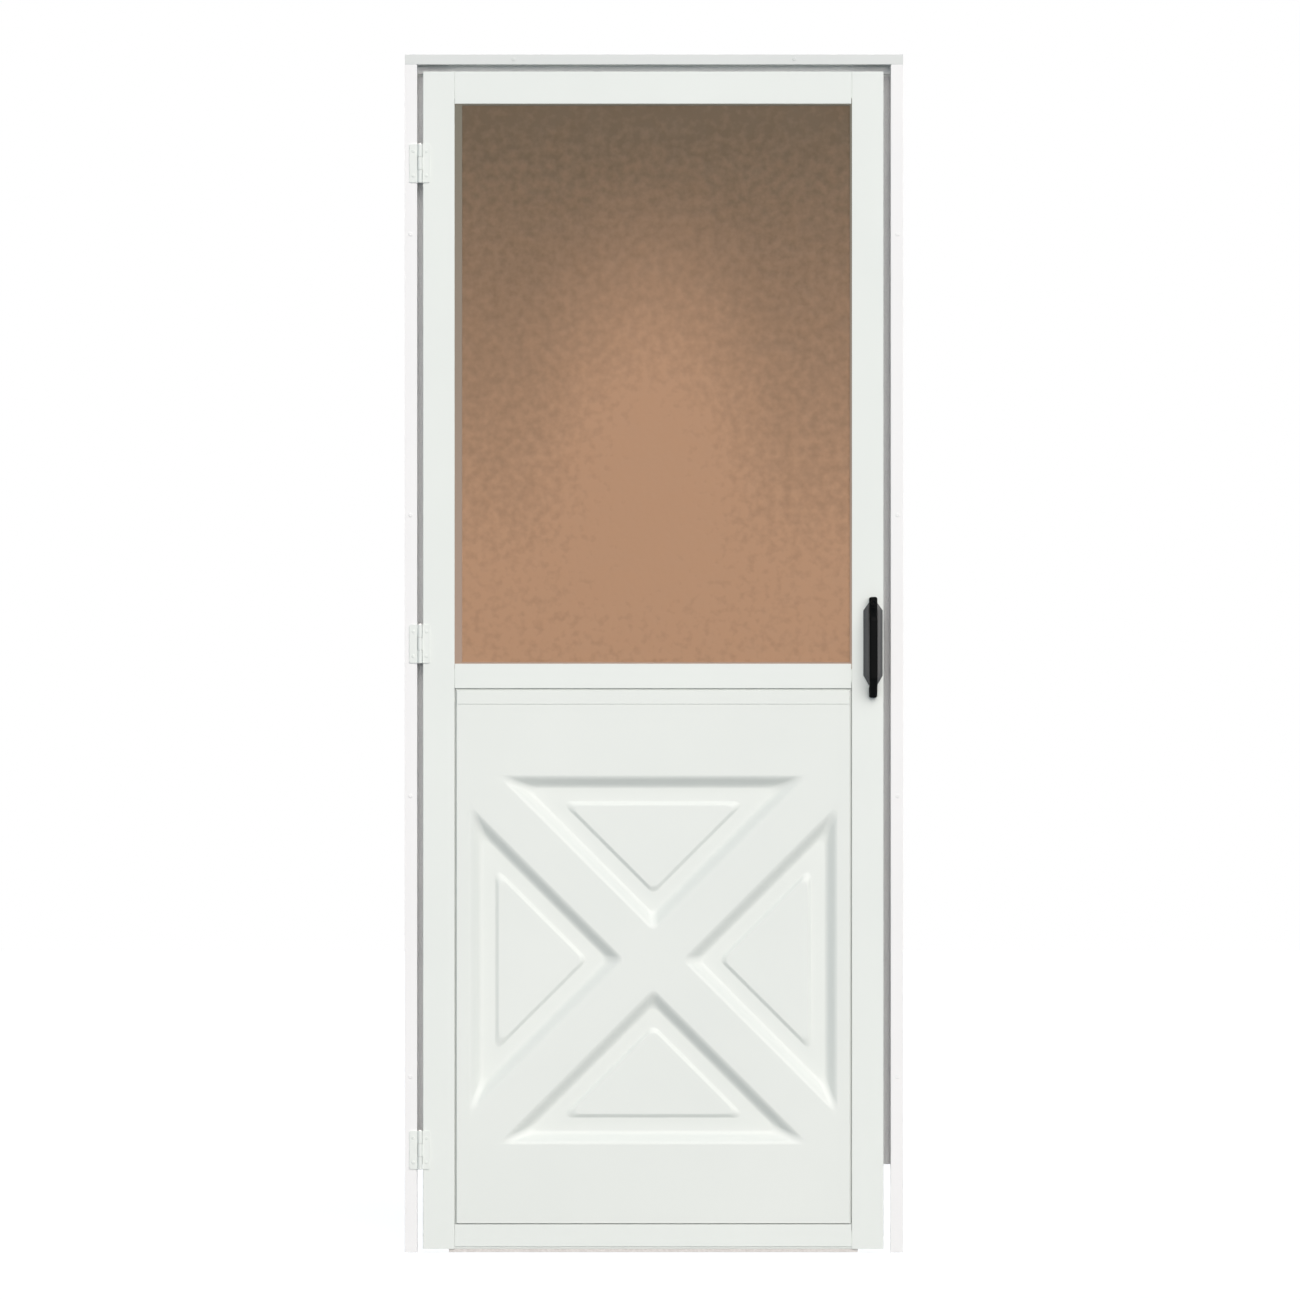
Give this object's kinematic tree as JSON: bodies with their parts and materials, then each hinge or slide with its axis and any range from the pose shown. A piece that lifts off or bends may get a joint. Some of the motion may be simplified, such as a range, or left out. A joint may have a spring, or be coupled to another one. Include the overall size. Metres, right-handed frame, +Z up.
{
  "type": "aluminium storm door in its frame",
  "caption": "White aluminium storm door hung in a Z-bar frame: bronze glass above a mid rail, a crossbuck kick panel below, black pull handle, opens outward on side hinges.",
  "frame": {"origin": "foot of the hinge jamb, at the middle of its flange's back face, which lies on the wall's casing", "axes": "+X from the hinge side to the latch side, +Y from outside to inside, +Z up"},
  "size_m": [0.8515, 0.105, 2.047],
  "materials": {
    "white_paint": "baked white enamel on aluminium, satin",
    "panel_white": "baked white enamel on embossed aluminium sheet, satin",
    "bronze_glass": "bronze-tinted tempered glass",
    "gasket_grey": "matt vinyl",
    "pile_grey": "woven pile",
    "handle_black": "black powder coat",
    "plated_steel": "zinc plated",
    "sweep_grey": "matt vinyl"
  },
  "bodies": {
    "frame": {"hinge_jamb": "white_paint", "latch_jamb": "white_paint", "header_bar": "white_paint", "hinge_jamb_pile": "pile_grey", "latch_jamb_pile": "pile_grey", "header_pile": "pile_grey", "strike_plate": "plated_steel", "lower_hinge_jamb_leaf": "white_paint", "middle_hinge_jamb_leaf": "white_paint", "upper_hinge_jamb_leaf": "white_paint", "lower_hinge_pin": "plated_steel", "middle_hinge_pin": "plated_steel", "upper_hinge_pin": "plated_steel"},
    "leaf": {"hinge_stile": "white_paint", "latch_stile": "white_paint", "top_rail": "white_paint", "mid_rail": "white_paint", "bottom_rail": "white_paint", "storm_glass": "bronze_glass", "glass_gasket": "gasket_grey", "glass_retainer_hinge": "white_paint", "glass_retainer_latch": "white_paint", "glass_retainer_bottom": "white_paint", "glass_retainer_top": "white_paint", "kick_panel": "panel_white", "panel_bead": "panel_white", "panel_retainer_hinge": "white_paint", "panel_retainer_latch": "white_paint", "panel_retainer_bottom": "white_paint", "panel_retainer_top": "white_paint", "sweep_holder": "white_paint", "sweep_fin": "sweep_grey", "lower_hinge_door_leaf": "white_paint", "middle_hinge_door_leaf": "white_paint", "upper_hinge_door_leaf": "white_paint", "pull_plate": "handle_black", "pull_grip": "handle_black", "latch_case": "handle_black", "inside_lever": "handle_black", "latch_bolt": "plated_steel"},
    "button": {"thumb_button": "handle_black"}
  },
  "joints": [
    {"name": "door_swing", "type": "hinge", "parent": "frame", "child": "leaf", "pos_m": [0.0163, -0.0036, 1], "axis": [0, 0, -1], "range_deg": [0, 110]},
    {"name": "button_press", "type": "slide", "parent": "leaf", "child": "button", "axis": [0, 1, 0], "range_m": [0, 0.006], "stiffness_N_per_m": 400}
  ]
}
